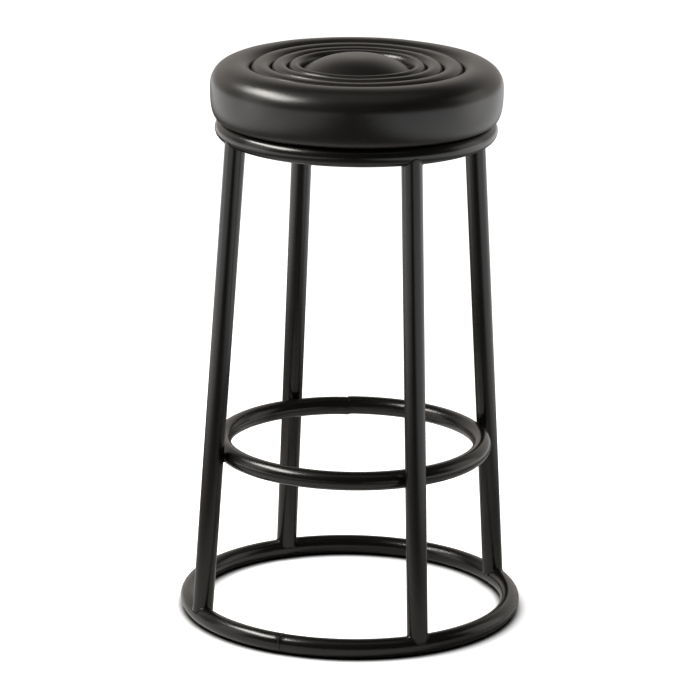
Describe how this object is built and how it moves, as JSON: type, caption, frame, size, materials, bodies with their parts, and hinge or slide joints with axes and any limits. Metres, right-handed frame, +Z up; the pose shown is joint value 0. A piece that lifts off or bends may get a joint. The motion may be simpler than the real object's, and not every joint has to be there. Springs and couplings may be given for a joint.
{
  "type": "bar stool",
  "caption": "Backless bar stool with a round channel-stitched padded seat on splayed tube legs, welded to a seat ring, a footrest ring and a floor ring.",
  "frame": {"origin": "on the floor at the centre of the base ring, under the middle of the seat", "axes": "+Z up through the seat, front towards -Y, +X to the right"},
  "size_m": [0.4674, 0.4674, 0.7745],
  "materials": {
    "black_paint": "semi-gloss black powder coat on steel tube",
    "zinc": "zinc-plated steel",
    "black_leatherette": "smooth satin black leatherette",
    "plywood": "raw birch plywood",
    "foam": "open-cell upholstery foam",
    "dust_cloth": "black non-woven cloth",
    "glide_plastic": "black nylon"
  },
  "bodies": {
    "root": {"base_ring": "black_paint", "footrest_ring": "black_paint", "top_ring": "black_paint", "leg_front_left": "black_paint", "leg_front_right": "black_paint", "leg_back_left": "black_paint", "leg_back_right": "black_paint", "seat_tab_front": "black_paint", "seat_tab_right": "black_paint", "seat_tab_back": "black_paint", "seat_tab_left": "black_paint", "seat_screw_front": "zinc", "seat_screw_right": "zinc", "seat_screw_back": "zinc", "seat_screw_left": "zinc", "tab_washer_front": "zinc", "tab_washer_right": "zinc", "tab_washer_back": "zinc", "tab_washer_left": "zinc", "tee_nut_front": "zinc", "tee_nut_right": "zinc", "tee_nut_back": "zinc", "tee_nut_left": "zinc", "floor_glide_front_left": "glide_plastic", "floor_glide_front_right": "glide_plastic", "floor_glide_back_left": "glide_plastic", "floor_glide_back_right": "glide_plastic", "dust_cover": "dust_cloth", "seat_board": "plywood", "seat_foam": "foam", "cover_side_roll": "black_leatherette", "cover_channel_outer": "black_leatherette", "cover_channel_middle": "black_leatherette", "cover_channel_inner": "black_leatherette", "cover_centre_dome": "black_leatherette"}
  },
  "joints": []
}
